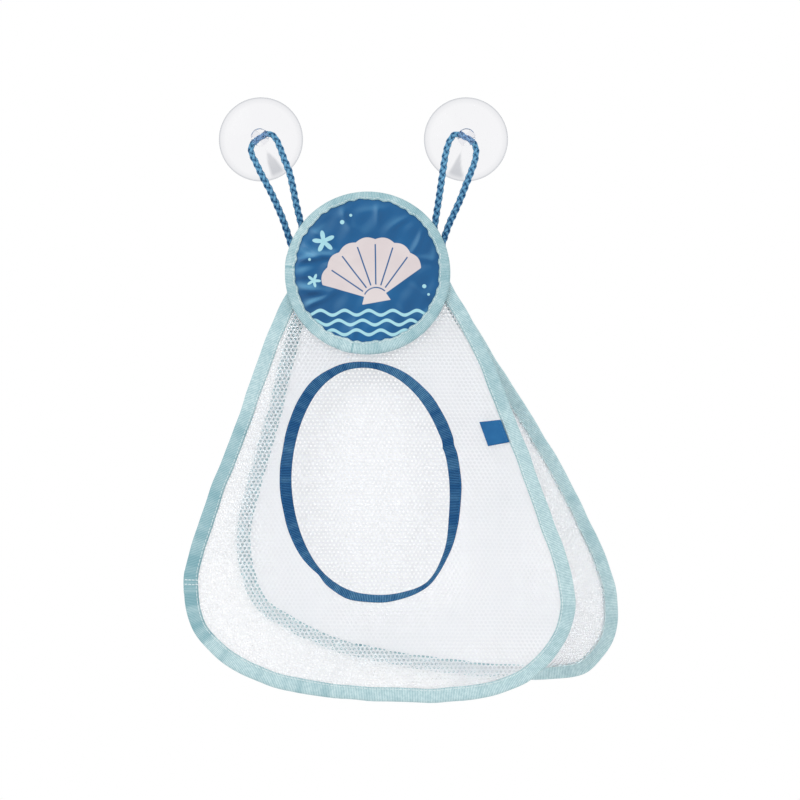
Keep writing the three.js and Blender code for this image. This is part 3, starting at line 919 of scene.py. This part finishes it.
def suction_cup(side_name, x, bore_angle):
    bpy.ops.object.select_all(action="DESELECT")
    radius, reach = CUP_RINGS[0]
    bpy.ops.mesh.primitive_circle_add(
        vertices=128, radius=radius * MM, fill_type="NGON",
        location=(x * MM, -reach * MM, 0), rotation=(math.pi / 2, 0, 0),
    )
    cup = bpy.context.object
    cup.name = cup.data.name = side_name + "_clear_cup"
    bpy.ops.object.transform_apply(location=True, rotation=True, scale=True)
    bpy.ops.object.mode_set(mode="EDIT")
    bpy.ops.mesh.select_mode(type="FACE")
    bpy.ops.mesh.select_all(action="SELECT")
    for next_radius, next_reach in CUP_RINGS[1:]:
        bpy.ops.mesh.extrude_region_move(
            TRANSFORM_OT_translate={"value": (0, (reach - next_reach) * MM, 0), "orient_type": "GLOBAL"},
        )
        share = next_radius / radius
        bpy.ops.transform.resize(
            value=(share, 1, share), orient_type="GLOBAL", center_override=(x * MM, -next_reach * MM, 0),
        )
        radius, reach = next_radius, next_reach
    bpy.ops.object.mode_set(mode="OBJECT")
    face_outwards(cup)
    bpy.ops.object.select_all(action="DESELECT")
    bpy.ops.mesh.primitive_cylinder_add(
        vertices=40, radius=2.7 * MM, depth=20 * MM, location=(x * MM, -BORE_REACH * MM, 0),
        rotation=(0, math.pi / 2 + math.radians(bore_angle), 0),
    )
    drill = bpy.context.object
    cut = cup.modifiers.new("cord_bore", "BOOLEAN")
    cut.operation, cut.object, cut.solver = "DIFFERENCE", drill, "EXACT"
    apply_modifiers(cup)
    bpy.data.objects.remove(drill, do_unlink=True)
    only(cup)
    bpy.ops.object.shade_smooth_by_angle(angle=math.radians(32))
    cup.data.materials.clear()
    cup.data.materials.append(CLEAR)
    at = np.array([v.co for v in cup.data.vertices]) / MM
    paint(cup, "cup_shade_and_reflection", cup_painted_greying(at[:, 0] - x, at[:, 2], 1 if x < 0 else -1))
    dress(cup, side_name + "_cup", side_name + "_suction_cup")


for side_name, x, route, bore_angle in (
    ("left", -CUP_X, LEFT_ROUTE, 36),
    ("right", CUP_X, RIGHT_ROUTE, -33),
):
    braided_cord(side_name, route)
    cord_tacks(side_name, route)
    suction_cup(side_name, x, bore_angle)


# Panels: nets, folded tapes and their stitches

TAPE_FOLD, TAPE_EDGE = 1.95, 1.12
# Tones along each tape's way, darker above 0 and lighter below 0. The rear's are painted light, lifting the
# shade that the rear tape lies in behind the front net.
FRONT_TONES = [
    0.3, 0.2, 0.1, 0.05, -0.15, -0.25, 0.45, 0.6, 0.5, 0.6, 0.75, 0.35, -0.15, -0.35, 0.0, -0.2, -0.3,
    -0.5, -0.4, -0.4, -0.15, -0.12, -0.1, -0.17, -0.25, -0.27, -0.05, 0.3, 0.15, -0.1, 0.0, 0.2, 0.25,
]
REAR_PAINTED_LIGHT = [-0.1, -0.3, -0.3, -0.3, -0.3, -0.2, -0.1, -0.1, -0.25, -0.2, 0.0, -0.1, -0.4, -0.3, -0.2]


def panel_tape(panel, outline, place, body, seed, tones, lap):
    share = outline.share
    width = TAPE_WIDTH + waves(share, [(0.28, 3, seed), (0.22, 7, seed + 0.3), (0.16, 17, seed + 0.7)])
    back_width = TAPE_WIDTH - 0.5 + waves(share, [(0.25, 4, seed + 0.1), (0.2, 9, seed + 0.6)])
    lift = waves(share, [(0.22, 11, seed + 0.2), (0.16, 23, seed + 0.5)])
    # Painted shade and light in patches along the tape, as where it bends, strongest over the shares 0.32 to
    # 0.5 of the way
    bend_shade_strength = 0.35 + 0.65 * ease(share, 0.24, 0.32) * (1 - ease(share, 0.5, 0.6))
    painted_bend_shade = waves(share, [(0.16, 37, seed + 0.4), (0.2, 61, seed + 0.7), (0.16, 97, seed + 0.2)])
    tone = np.interp(share, np.linspace(0, 1, len(tones)), tones) + bend_shade_strength * painted_bend_shade
    sway = waves(share, [(0.2, 16, seed), (0.15, 27, seed + 0.4), (0.08, 43, seed + 0.8)])
    name = panel + "_edge_tape"
    tape = folded_tape(name, outline, place, TEAL, width, back_width, TAPE_FOLD, TAPE_EDGE, (0.11, 1.15),
                       lift=lift, tone=tone, laps=[(lap, 16)], sway=sway)
    dress(tape, body, panel + "_binding")
    high = TAPE_EDGE + 0.16
    rows = [
        tape_stitches(name + "_front_stitches", outline, place, width + sway - 1.3, -high, PALE_THREAD),
        tape_stitches(name + "_back_stitches", outline, place, back_width + sway - 1.3, high, PALE_THREAD),
        lap_stitches(name + "_lap_stitches", outline, place, lap, TAPE_WIDTH, 2.17, TAPE_EDGE + 0.22),
    ]
    for row in rows:
        dress(row, body)
    return [tape] + rows


front_nets = panel_net("front", front_outline, place_front, front_slack, "bag", 0.7, NET_HOLE, 0.0,
                       opening_outline)
# The rear net is painted fully in shade
rear_nets = panel_net("rear", rear_outline, place_rear, rear_slack, "rear_panel", 40.7, REAR_NET_HOLE, 1.0)
front_tape = panel_tape("front", front_outline, place_front, "bag", 0.13, FRONT_TONES, 0.304)
rear_tape = panel_tape("rear", rear_outline, place_rear, "rear_panel", 0.57, REAR_PAINTED_LIGHT, 0.4)


# The opening's ribbon: its width and its tone at shares of the way round, from the right over the top

RIBBON_WIDTHS = [
    (0, 8.4), (0.04, 8.4), (0.09, 8.6), (0.14, 8.0), (0.2, 6.2), (0.237, 4.2), (0.27, 4.9), (0.337, 8.1),
    (0.397, 8.6), (0.448, 7.9), (0.493, 8.6), (0.538, 7.9), (0.586, 7.4), (0.613, 6.4), (0.636, 4.6),
    (0.646, 3.0), (0.66, 4.8), (0.702, 6.3), (0.764, 5.2), (0.812, 3.4), (0.844, 2.7), (0.887, 4.1),
    (0.928, 7.0), (0.96, 8.0), (1, 8.4),
]
RIBBON_TONES = [
    (0, 0.65), (0.08, 0.4), (0.14, 0.1), (0.22, 0.15), (0.3, 0.5), (0.4, 0.65), (0.5, 0.7), (0.58, 0.5),
    (0.66, 0.1), (0.72, -0.1), (0.78, 0.0), (0.88, 0.35), (0.94, 0.6), (1, 0.65),
]


def opening_ribbon():
    share = opening_outline.share
    width = np.interp(share, *zip(*RIBBON_WIDTHS))
    kernel = np.hanning(41) / np.hanning(41).sum()
    width = np.convolve(np.concatenate([width[-20:], width, width[:20]]), kernel, mode="valid")
    width = width + waves(share, [(0.14, 9, 0.2), (0.1, 21, 0.5)]) * np.clip(width / 5, 0, 1)
    lift = waves(share, [(0.35, 5, 0.3), (0.25, 9, 0.8)])
    tone = np.interp(share, *zip(*RIBBON_TONES))
    tone = tone + waves(share, [(0.14, 7, 0.6), (0.16, 17, 0.3), (0.16, 41, 0.8), (0.12, 83, 0.2)])
    kink = -0.5 * np.exp(-((share - 0.052) / 0.006) ** 2) + 0.35 * np.exp(-((share - 0.066) / 0.009) ** 2)
    ribbon = folded_tape("opening_ribbon", opening_outline, place_front, RIBBON, width, width * 0.93, 1.0,
                         0.66, (0.08, 0.95), slack=front_slack, outwards=True, lift=lift, thickness=0.38,
                         tone=tone, laps=[(0.052, 1.1)], sway=kink)
    dress(ribbon, "bag", "opening_binding")
    row = tape_stitches("opening_ribbon_stitches", opening_outline, place_front,
                        np.maximum(width - 0.9, 0.8), -0.84, BLUE_THREAD, outwards=True, slack=front_slack,
                        pitch=2.6, length=1.9, radius=0.17)
    dress(row, "bag")
    return [ribbon, row]


ribbon_pieces = opening_ribbon()


# Gusset: the net band that joins the two panels all the way round

GUSSET_MIDDLE = np.array([25.0, -165.0])
GUSSET_INSET, GUSSET_LIFT = 8.5, 0.44
GUSSET_STATIONS, GUSSET_OVERLAP = 600, 300


def gusset():
    mean = (front_outline.length + rear_outline.length) / 2
    columns = int(mean / NET_PITCH)
    span = columns * NET_PITCH
    ends = np.arange(GUSSET_STATIONS + 1)

    # The rear edge's points lie in the same directions from the middle as the front edge's
    lines = [outline.inset(GUSSET_INSET) for outline in (front_outline, rear_outline)]
    angles = [np.unwrap(np.arctan2(*(line - GUSSET_MIDDLE).T[::-1])) for line in lines]
    picks = (ends * front_outline.count / GUSSET_STATIONS).astype(int) % front_outline.count
    turn = angles[0][picks] + TURN * (ends == GUSSET_STATIONS)
    n = GUSSET_OVERLAP
    order = np.concatenate([angles[1][-n:] - TURN, angles[1], angles[1][:n] + TURN])
    wide = np.vstack([lines[1][-n:], lines[1], lines[1][:n]])
    shift = TURN * round((angles[0][0] - angles[1][0]) / TURN)
    front = place_front(*lines[0][picks].T, GUSSET_LIFT + 0 * turn)
    rear = place_rear(*sample(turn - shift, order, wide).T, -GUSSET_LIFT + 0 * turn)
    width = np.linalg.norm(rear - front, axis=1) / MM

    cells = []
    for row in range(int(width.max() / ROW) + 2):
        for column in range(columns):
            x, y = cell_middle(row, column)
            here = np.interp((x / span % 1) * GUSSET_STATIONS, ends, width)
            if y < here + 1.0:
                cells.append((x, y, 1.9 < y < here - 1.9))
    points, faces = lattice(cells, NET_HOLE, span)
    at = (points[:, 0] / span % 1) * GUSSET_STATIONS
    here = np.interp(at, ends, width)
    share = np.clip(points[:, 1] / here, 0, 1)
    a, b = sample(at, ends, front), sample(at, ends, rear)
    middle = (a + b) / 2 - np.array([BADGE_SIDE, 0, BADGE_HEIGHT - 150]) * MM
    inward = unit(-middle * np.array([1, 0, 1]))
    sway = 0.045 + 0.02 * np.sin(TURN * 9 * at / GUSSET_STATIONS)
    sag = np.sin(math.pi * share) * np.minimum(here, 40) * sway * MM
    grid = a + (b - a) * share[:, None] + inward * sag[:, None]
    net = make_object("gusset_mesh", grid, faces, BAND_NET, smooth=False)

    # The share of the way from the front tape to the rear one is painted, carried through the thickening and
    # read back, then taken off again
    paint(net, "depth_share", share)
    solidify(net, NET_THICK)
    share = np.zeros(len(net.data.vertices), np.float32)
    net.data.attributes["depth_share"].data.foreach_get("value", share)
    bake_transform(net)
    net.data.attributes.remove(net.data.attributes["depth_share"])
    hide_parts("gusset_net")


gusset()


# Badge: backing, padding and face, bound together by a tape

BADGE_BACK, BACKING_REACH, PADDING_REACH, FACE_REACH, BADGE_FRONT = 2.3, 3.2, 4.1, 5.6, 7.1
CLOTH_RADIUS, PADDING_RADIUS, CROWN = 57.6, 53.4, 0.8
# Each crease's start, its length and direction, and its size and width
CREASES = [
    (-52, 22, 52, -24, 1.3, 2.4), (-54, 6, 44, 14, 1.5, 2.8), (-52, -12, 36, -4, 1.3, 2.6),
    (-46, -27, 30, 30, 1.2, 2.2), (-42, 33, 34, -40, 1.1, 2.2), (-20, 49, 26, -65, 0.8, 2.2),
    (8, 52, 22, -96, 0.6, 2.2), (30, 42, 24, -140, 0.7, 2.4), (50, 8, 26, -184, 0.8, 2.6),
    (48, -20, 26, -212, 1.0, 2.4), (36, -38, 26, -222, 0.9, 2.4), (-10, -52, 24, 82, 0.7, 2.2),
    (-28, 4, 40, 20, 0.5, 3.6), (6, 24, 44, -200, 0.45, 4.2), (40, 30, 30, -120, 0.6, 2.2),
]
# Each painted highlight patch's middle and direction, its half length and half width, and its strength; a
# strength below 0 paints shade
PAINTED_LIGHT_PATCHES = [
    (-42, 14, -22, 9, 2.6, 0.5), (-46, 2, 12, 7, 2.2, 0.45), (-43, -10, -8, 8, 2.4, 0.4),
    (-40, -21, 25, 7, 2.2, 0.35), (-34, 32, 40, 6, 2.0, 0.25), (42, -28, 40, 7, 2.4, 0.35),
    (46, 12, 80, 7, 2.2, 0.25), (2, 46, 10, 9, 2.0, 0.2), (-45, 8, 5, 8, 1.4, -0.5),
    (-44, -4, 2, 8, 1.4, -0.45), (-41, -16, 15, 7, 1.3, -0.4),
]


def creases(x, y):
    """Folds of the coated cloth: each starts at a point, runs one way and fades out."""
    total = 0 * x
    for start_x, start_y, length, angle, size, wide in CREASES:
        along, side = turned(x - start_x, y - start_y, math.radians(angle))
        side = side + 0.9 * np.sin(along / 5.5 + start_x)
        fade = ease(along, -6, 2) * (1 - ease(along, length * 0.35, length))
        total = total + size * fade * np.exp(-(side / wide) ** 2)
    return total


def face_height(x, y):
    """The badge face's height towards the viewer."""
    r = np.hypot(x, y)
    rumple = creases(x, y) + ripples(x, y, [(0.16, 0.4, 23, 0.2), (0.13, 1.7, 17, 0.6), (0.1, 2.6, 12, 0.1)])
    return FACE_REACH + CROWN * (1 - (r / CLOTH_RADIUS) ** 2) + rumple * (1 - ease(r, 44, 52))


def back_height(x, y):
    rumple = ripples(x, y, [(0.1, 0.9, 31, 0.4), (0.08, 2.2, 22, 0.1)])
    return BACKING_REACH + rumple * (1 - ease(np.hypot(x, y), 44, 52))


def padding_height(x, y):
    return PADDING_REACH + 0.15 * (1 - (np.hypot(x, y) / 54) ** 2)


def painted_fold_light_and_shade(x, y):
    """Painted light on the folds: painted highlight where the cloth faces the upper left and in patches,
    from 0 to 1, and painted shade below 0.
    """
    slope = (face_height(x + 0.5, y - 0.5) - face_height(x - 0.5, y + 0.5)) * 0.75
    for centre_x, centre_y, angle, long, wide, size in PAINTED_LIGHT_PATCHES:
        along, side = turned(x - centre_x, y - centre_y, math.radians(angle))
        slope = slope + size * np.exp(-(along / long) ** 2 - (side / wide) ** 2)
    return np.clip(slope, -0.6, 0.8)


def disc_grid(rings, segments, radius):
    """Points of a disc in rings round its middle, and its faces, wound anticlockwise."""
    points, faces = [(0.0, 0.0)], []
    for i in range(1, rings + 1):
        for k in range(segments):
            a = TURN * k / segments
            points.append((radius * i / rings * math.cos(a), radius * i / rings * math.sin(a)))
    for k in range(segments):
        n = (k + 1) % segments
        faces.append((0, 1 + k, 1 + n))
        for i in range(rings - 1):
            a, b = 1 + i * segments, 1 + (i + 1) * segments
            faces.append((a + k, b + k, b + n, a + n))
    return np.array(points), faces


# The print's shapes, as signed distances in millimetres

SHELL_X, SHELL_Y, SHELL_REACH = 6.0, -20.0, 45
SHELL_LEAN, SHELL_SPREAD = math.radians(10), math.radians(64)
SHELL_LOBE = SHELL_SPREAD * 2 / 7
STARS = [(-31, 22, 8.2, 0.5), (-38, -6, 5.2, 1.2)]
BUBBLES = [(-18, 36, 1.6), (-12, 41, 1.1), (-24, 9, 1.3), (-41, 9, 1.0), (40, -10, 1.5), (43, -16, 1.0)]
WATER_LINES = [(-29, 0.2), (-36, 0.45), (-43, 0.7)]


def shell_print(x, y):
    """A scallop shell, and the lines on it: its ribs and an arc round its hinge."""
    dx, dy = x - SHELL_X, y - SHELL_Y
    r, a = np.hypot(dx, dy), np.arctan2(dx, dy) + SHELL_LEAN
    bulge = SHELL_REACH * (1 - 0.10 * (a / SHELL_SPREAD) ** 2)
    rim = bulge + 1.7 * np.abs(np.cos(math.pi * a / SHELL_LOBE)) - 1.2
    sides = (np.abs(a) - SHELL_SPREAD) * r
    local_x, local_y = turned(dx, dy, SHELL_LEAN)
    ears = np.maximum(np.abs(local_x) - (9.5 - 0.45 * local_y), np.abs(local_y - 2.0) - 3.6)
    shell = np.minimum(np.maximum(r - rim, sides), ears)
    lines = np.maximum(np.abs(r - 9.0) - 0.45, sides + 1.5)
    for k in range(-3, 3):
        angle = (k + 0.5) * SHELL_LOBE
        off = np.where(np.cos(a - angle) > 0, np.abs(r * np.sin(a - angle)), r)
        lines = np.minimum(lines, np.maximum(off - 0.5, np.maximum(11 - r, r - (rim - 3.5))))
    return shell, lines


def water_print(x, y):
    """Water lines, two rounded sea stars and bubbles."""
    shapes = []
    for level, start in WATER_LINES:
        wave = np.abs(y - level - 1.7 * np.sin(TURN * (x / 17 + start))) * 0.74 - 0.85
        shapes.append(np.maximum(wave, np.abs(x) - 60))
    for centre_x, centre_y, size, turn in STARS:
        dx, dy = x - centre_x, y - centre_y
        reach = size * (0.62 + 0.38 * np.cos(5 * (np.arctan2(dy, dx) - turn)))
        shapes.append((np.hypot(dx, dy) - reach) * 0.72)
    shapes += [np.hypot(x - cx, y - cy) - radius for cx, cy, radius in BUBBLES]
    return np.minimum.reduce(shapes)


def badge_disc(name, node, height, rings, segments, radius, thickness, material):
    points, faces = disc_grid(rings, segments, radius)
    x, y = points.T
    disc = make_object(name, place_front(x, y, -height(x, y) - thickness / 2), faces, material)
    if material is PRINTED_CLOTH:
        shell, lines = shell_print(x, y)
        layers = {"print_aqua": water_print(x, y), "print_pink": shell, "print_line": lines}
        layers["fold_painted_light"] = painted_fold_light_and_shade(x, y)
        for label, values in layers.items():
            paint(disc, label, np.clip(values, -5, 5))
    solidify(disc, thickness)
    face_outwards(disc)
    dress(disc, "bag", node)
    return disc


def badge():
    face = badge_disc("badge_printed_face", "badge_face", face_height, 84, 340, CLOTH_RADIUS - 0.6, 0.5,
                      PRINTED_CLOTH)
    backing = badge_disc("badge_back_cloth", "badge_backing", back_height, 30, 120, CLOTH_RADIUS - 0.6, 0.5,
                         PLAIN_CLOTH)
    padding = badge_disc("badge_padding_disc", "badge_padding", padding_height, 24, 96, PADDING_RADIUS, 1.1,
                         FOAM)
    soften = padding.modifiers.new("rounded_edge", "BEVEL")
    soften.width, soften.segments = 0.3 * MM, 3
    apply_modifiers(padding)
    share = badge_outline.share
    turns = [0, 0.12, 0.25, 0.38, 0.5, 0.62, 0.75, 0.88, 1]
    front = np.interp(share, turns, [7.9, 6.6, 5.9, 6.4, 7.2, 8.0, 9.0, 8.6, 7.9])
    front = front + waves(share, [(0.3, 13, 0.2), (0.3, 31, 0.6), (0.28, 47, 0.1)])
    back = 7.6 + waves(share, [(0.3, 9, 0.4), (0.2, 19, 0.8)])
    middle = (BADGE_BACK + BADGE_FRONT) / 2
    tone = np.interp(share, turns, [0.3, 0.3, 0.35, 0.15, 0.05, 0.1, 0.0, 0.25, 0.3])
    tone = tone + waves(share, [(0.1, 13, 0.3), (0.08, 27, 0.5), (0.06, 51, 0.9)])
    binding = folded_tape("badge_edge_tape", badge_outline, place_front, TEAL, front, back, 2.4, 2.3,
                          (0.1, 1.15), level=-middle, thickness=0.45, tone=tone,
                          laps=[(0.706, 8), (0.476, 8)])
    dress(binding, "bag", "badge_binding")
    row = tape_stitches("badge_front_stitches", badge_outline, place_front, front - 1.2, -(middle + 2.6),
                        PALE_THREAD, pitch=2.8, length=2.1, radius=0.2)
    dress(row, "bag")


badge()


# Side tag: a woven label folded double, sewn in at the right-hand tape

TAG_CORNERS = np.array([
    (87.93, -36.21, -221.3), (81.89, -34.0, -205.57), (102.42, -35.45, -215.86), (96.38, -33.24, -200.12),
])
TAG_ROWS, TAG_STITCHES = 16, 6


def side_tag():
    a, b, c, d = TAG_CORNERS
    centre = TAG_CORNERS.mean(axis=0)
    wide, tall = (float(np.linalg.norm(v)) / 2 for v in (c + d - a - b, b + d - a - c))
    outward, upward = unit(c + d - a - b), unit(b + d - a - c)
    front = np.cross(outward, upward)

    # The label's section: from the sewn edge to the fold, round it and back
    sewn, folded = wide / 2 + 0.5, -wide / 2 + 0.35
    t = np.linspace(0, 1, 15)
    turns = math.pi * np.arange(1, 8) / 8
    out, level = np.hstack([
        (sewn + (folded - sewn) * t, 0.28 + 0.12 * np.sin(math.pi * t)),
        (folded - 0.3 * np.sin(turns), 0.28 * np.cos(turns)),
        (folded + (sewn - folded) * t, -0.28 - 0.06 * np.sin(math.pi * t)),
    ])
    lengths = reach_along(np.stack([out, level], axis=1))
    up = np.linspace(0, 1, TAG_ROWS + 1)[:, None] - 0.5
    free = (sewn - out) / wide
    bow = 0.06 * np.cos(math.pi * up) * (out < 0)
    curl = 0.22 * free ** 2 * np.cos(math.pi * up)
    grid = centre + (out - bow)[:, :, None] * outward + (tall * up)[:, :, None] * upward
    grid = grid + (level + curl - 0.1)[:, :, None] * front
    grid[:, :, 2] += (3.3 + 1.1 * up) * free
    n = len(out)
    faces, values = [], []
    for j in range(TAG_ROWS):
        y0, y1 = j * tall / TAG_ROWS, (j + 1) * tall / TAG_ROWS
        for i in range(n - 1):
            k = j * n + i
            faces.append((k, k + 1, k + n + 1, k + n))
            values.append(((lengths[i], y0), (lengths[i + 1], y0), (lengths[i + 1], y1), (lengths[i], y1)))
    tag = make_object("side_label", grid.reshape(-1, 3) * MM, faces, LABEL)
    set_map(tag, values)
    solidify(tag, 0.26)
    face_outwards(tag)
    dress(tag, "side_tag", "side_tag")
    seam = centre + outward * (sewn - 1.6) + front * 0.42
    centres = [seam + upward * ((j + 0.5) / TAG_STITCHES - 0.5) * (tall - 1.6) for j in range(TAG_STITCHES)]
    row = stitch_row("side_label_stitches", centres, [upward] * TAG_STITCHES, [front] * TAG_STITCHES,
                     1.9, 0.15, BLUE_THREAD)
    dress(row, "side_tag")


side_tag()


# The wires that hold the panels' cloth stretched, in steel

for nets, pieces, wires in (
    (front_nets, front_tape + ribbon_pieces, ["front_hoop", "front_hoop_ferrule"]),
    (rear_nets, rear_tape, ["rear_hoop", "rear_hoop_ferrule"]),
):
    for wire_name in wires:
        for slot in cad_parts[wire_name].material_slots:
            slot.material = STEEL


# Floor, lamps and backdrop

def floor():
    made = Material("studio_floor", Roughness=0.7)
    made.feed("Base Color", made.mix(made.mottle(3.0, 1.0), "eeeeec", "e9e9e8"))
    bpy.ops.object.select_all(action="DESELECT")
    bpy.ops.mesh.primitive_plane_add(size=1.0, location=(0.03, -0.05, -0.58))
    ground = bpy.context.object
    ground.name = "studio_floor"
    ground.scale = (1.6, 0.9, 1.0)
    bpy.ops.object.transform_apply(location=True, rotation=True, scale=True)
    bpy.ops.object.mode_set(mode="EDIT")
    bpy.ops.mesh.subdivide(number_cuts=6)
    bpy.ops.object.mode_set(mode="OBJECT")
    ground.data.materials.append(made.material)


def lamp(name, place, target, size, power):
    data = bpy.data.lights.new(name, "AREA")
    data.shape, data.size, data.energy = "DISK", size, power
    made = add_object(name, data)
    made.location = place
    made.rotation_euler = (Vector(target) - Vector(place)).to_track_quat("-Z", "Y").to_euler()


def backdrop():
    world = bpy.data.worlds.new("white_studio")
    scene.world = world
    world.use_nodes = True
    nodes = Nodes(world.node_tree)
    nodes.tree.nodes.clear()
    rays = nodes.add("LightPath").outputs
    seen = nodes.math("ADD", rays["Is Camera Ray"], rays["Is Glossy Ray"])
    seen = nodes.math("ADD", seen, rays["Is Transmission Ray"], clamp=True)
    soft = nodes.add("Background", {"Color": (0.97, 0.985, 1.0, 1.0), "Strength": 0.92})
    white = nodes.add("Background", {"Color": (1.0, 1.0, 1.0, 1.0), "Strength": 1.0})
    both = nodes.add("MixShader", {0: seen, 1: soft.outputs[0], 2: white.outputs[0]})
    nodes.add("OutputWorld", {"Surface": both.outputs[0]})


floor()
backdrop()
lamp("key_lamp", (-1.0, -1.7, 0.8), (0.03, 0, -0.2), 1.2, 9)
lamp("fill_lamp", (1.3, -1.5, 0.2), (0.03, 0, -0.2), 1.2, 3)
